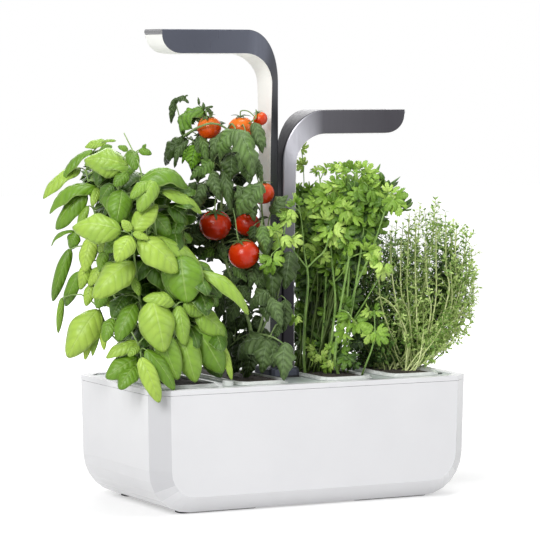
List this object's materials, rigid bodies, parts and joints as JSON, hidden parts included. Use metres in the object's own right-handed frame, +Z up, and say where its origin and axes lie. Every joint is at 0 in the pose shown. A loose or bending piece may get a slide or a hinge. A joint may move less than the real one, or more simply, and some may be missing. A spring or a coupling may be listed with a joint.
{
  "type": "countertop hydroponic garden",
  "caption": "Countertop hydroponic garden: water tank with a lift-off growing deck, planted wick cups and two sliding goose-neck grow lamps on a central column.",
  "frame": {"origin": "middle of the underside, on the surface the planter stands on", "axes": "+Z up, -Y towards the front panel, +X to the right along the tank's long side"},
  "size_m": [0.4426, 0.1982, 0.4402],
  "materials": {
    "white_shell": "gloss",
    "tray": "satin",
    "cup": "satin",
    "soil": "granular, damp",
    "wick": "felt",
    "rubber": "matte",
    "lamp_shell": "satin slate",
    "diffuser": "frosted",
    "board": "satin",
    "dark_plastic": "matte",
    "screw": "bright",
    "basil_leaf": "waxy leaf",
    "tomato_leaf": "matte leaf",
    "tomato_fruit": "glossy skin",
    "parsley_leaf": "soft leaf",
    "thyme_leaf": "soft leaf"
  },
  "bodies": {
    "tank": {"planter_tank": "white_shell", "foot_front_left": "rubber", "foot_front_right": "rubber", "foot_rear_left": "rubber", "foot_rear_right": "rubber", "foot_centre": "rubber"},
    "deck": {"rim_frame": "white_shell", "growing_tray": "tray", "mast_well": "dark_plastic", "mast_guide": "lamp_shell", "guide_screw_front": "screw", "guide_screw_rear": "screw", "float_guide": "tray", "driver_housing": "dark_plastic", "driver_board": "board", "power_inlet": "dark_plastic", "button_switch": "dark_plastic"},
    "lamp_left": {"lamp_shell_left": "lamp_shell", "diffuser_left": "diffuser", "mast_lead_left": "dark_plastic", "mast_foot_left": "dark_plastic", "light_board_left": "board", "end_strip_left": "lamp_shell"},
    "lamp_right": {"lamp_shell_right": "lamp_shell", "diffuser_right": "diffuser", "mast_lead_right": "dark_plastic", "mast_foot_right": "dark_plastic", "light_board_right": "board", "end_strip_right": "lamp_shell"},
    "cup_basil": {"cup_basil": "cup", "soil_basil": "soil", "wick_basil": "wick", "basil_plant": "basil_leaf"},
    "cup_tomato": {"cup_tomato": "cup", "soil_tomato": "soil", "wick_tomato": "wick", "tomato_vine": "tomato_leaf", "tomato_fruit_1": "tomato_fruit", "tomato_fruit_2": "tomato_fruit", "tomato_fruit_3": "tomato_fruit", "tomato_fruit_4": "tomato_fruit", "tomato_fruit_5": "tomato_fruit", "tomato_fruit_6": "tomato_fruit", "tomato_fruit_7": "tomato_fruit"},
    "cup_parsley": {"cup_parsley": "cup", "soil_parsley": "soil", "wick_parsley": "wick", "parsley_plant": "parsley_leaf"},
    "cup_thyme": {"cup_thyme": "cup", "soil_thyme": "soil", "wick_thyme": "wick", "thyme_plant": "thyme_leaf"},
    "float": {"level_float": "cup"},
    "button": {"control_button": "dark_plastic"}
  },
  "joints": [
    {"name": "deck_lift", "type": "slide", "parent": "tank", "child": "deck", "axis": [0, 0, 1], "range_m": [0, 0.025]},
    {"name": "lamp_left_slide", "type": "slide", "parent": "deck", "child": "lamp_left", "axis": [0, 0, 1], "range_m": [-0.034, 0.003]},
    {"name": "lamp_right_slide", "type": "slide", "parent": "deck", "child": "lamp_right", "axis": [0, 0, 1], "range_m": [-0.018, 0.078]},
    {"name": "basil_lift", "type": "slide", "parent": "deck", "child": "cup_basil", "axis": [0, 0, 1], "range_m": [0, 0.022]},
    {"name": "tomato_lift", "type": "slide", "parent": "deck", "child": "cup_tomato", "axis": [0, 0, 1], "range_m": [0, 0.022]},
    {"name": "parsley_lift", "type": "slide", "parent": "deck", "child": "cup_parsley", "axis": [0, 0, 1], "range_m": [0, 0.022]},
    {"name": "thyme_lift", "type": "slide", "parent": "deck", "child": "cup_thyme", "axis": [0, 0, 1], "range_m": [0, 0.022]},
    {"name": "float_rise", "type": "slide", "parent": "deck", "child": "float", "axis": [0, 0, 1], "range_m": [0, 0.012]},
    {"name": "button_press", "type": "slide", "parent": "deck", "child": "button", "axis": [0, 0, 1], "range_m": [-0.0009, 0], "stiffness_N_per_m": 300}
  ]
}
